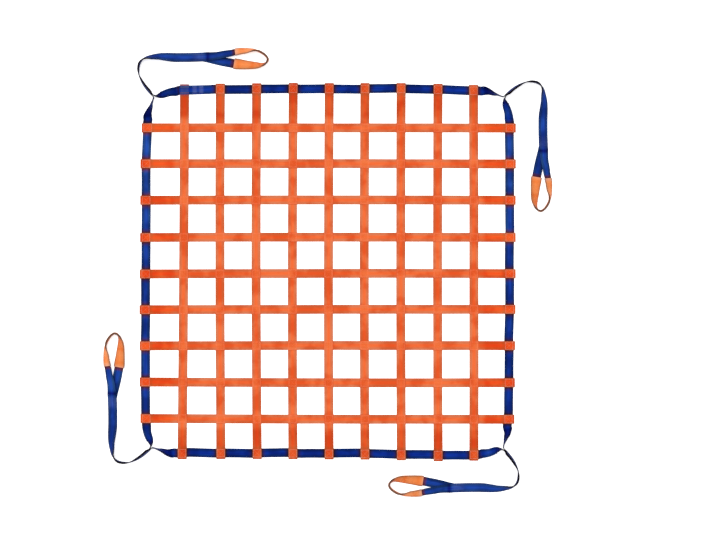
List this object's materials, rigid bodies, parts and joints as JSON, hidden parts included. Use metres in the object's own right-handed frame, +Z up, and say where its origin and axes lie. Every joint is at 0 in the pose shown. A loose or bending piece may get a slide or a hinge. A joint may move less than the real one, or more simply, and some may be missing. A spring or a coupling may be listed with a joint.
{
  "type": "webbing cargo net",
  "caption": "Square lifting net of sewn flat webbing laid out flat, with a belt round its edge that runs out at every corner into a doubled leg with a sleeved soft eye.",
  "frame": {"origin": "on the floor under the middle crossing of the net", "axes": "+X along the crosswise straps, +Y along the upright straps, +Z up from the floor"},
  "size_m": [2.4749, 2.4745, 0.0603],
  "materials": {
    "orange_webbing": "woven, matt",
    "blue_webbing": "woven, matt",
    "orange_sleeve": "close woven, matt"
  },
  "bodies": {
    "root": {"strap_upright_1": "orange_webbing", "strap_upright_2": "orange_webbing", "strap_upright_3": "orange_webbing", "strap_upright_4": "orange_webbing", "strap_upright_5": "orange_webbing", "strap_upright_6": "orange_webbing", "strap_upright_7": "orange_webbing", "strap_upright_8": "orange_webbing", "strap_upright_9": "orange_webbing", "strap_crosswise_1": "orange_webbing", "strap_crosswise_2": "orange_webbing", "strap_crosswise_3": "orange_webbing", "strap_crosswise_4": "orange_webbing", "strap_crosswise_5": "orange_webbing", "strap_crosswise_6": "orange_webbing", "strap_crosswise_7": "orange_webbing", "strap_crosswise_8": "orange_webbing", "strap_crosswise_9": "orange_webbing", "border_start": "blue_webbing", "border_top": "blue_webbing", "border_right": "blue_webbing", "border_bottom": "blue_webbing", "border_left": "blue_webbing", "lifting_leg_top": "blue_webbing", "lifting_leg_right": "blue_webbing", "lifting_leg_bottom": "blue_webbing", "lifting_leg_left": "blue_webbing", "eye_sleeve_top": "orange_sleeve", "eye_sleeve_right": "orange_sleeve", "eye_sleeve_bottom": "orange_sleeve", "eye_sleeve_left": "orange_sleeve"}
  },
  "joints": []
}
